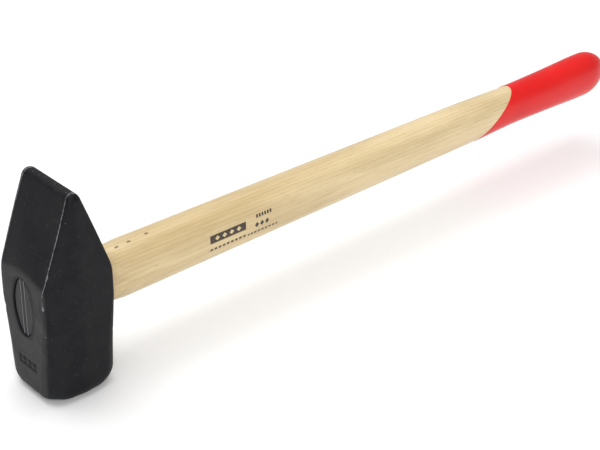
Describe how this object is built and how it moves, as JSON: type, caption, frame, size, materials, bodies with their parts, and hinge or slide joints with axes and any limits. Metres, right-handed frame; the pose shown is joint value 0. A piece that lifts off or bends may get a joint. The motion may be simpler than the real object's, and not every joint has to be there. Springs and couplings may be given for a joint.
{
  "type": "sledge hammer",
  "caption": "Sledge hammer with a black forged steel head, square striking face and cross peen, on a long wedged ash handle whose grip end is dipped in red lacquer.",
  "frame": {"origin": "centre of the flat striking face", "axes": "+Z from the striking face up the head to the peen, +X from the head along the handle to the grip, Y across the hammer"},
  "size_m": [0.7024, 0.0664, 0.18],
  "materials": {
    "head_lacquer": "thin satin black lacquer over forged steel, worn bright along the sharp edges",
    "ash_wood": "pale ash under clear lacquer, straight grain along the handle, head end lacquered black",
    "wedge_wood": "hardwood wedge end grain under black lacquer",
    "grip_lacquer": "glossy red dipped lacquer with a slanting edge"
  },
  "bodies": {
    "root": {"hammer_head": "head_lacquer", "handle": "ash_wood", "eye_wedge": "wedge_wood", "grip_coat": "grip_lacquer"}
  },
  "joints": []
}
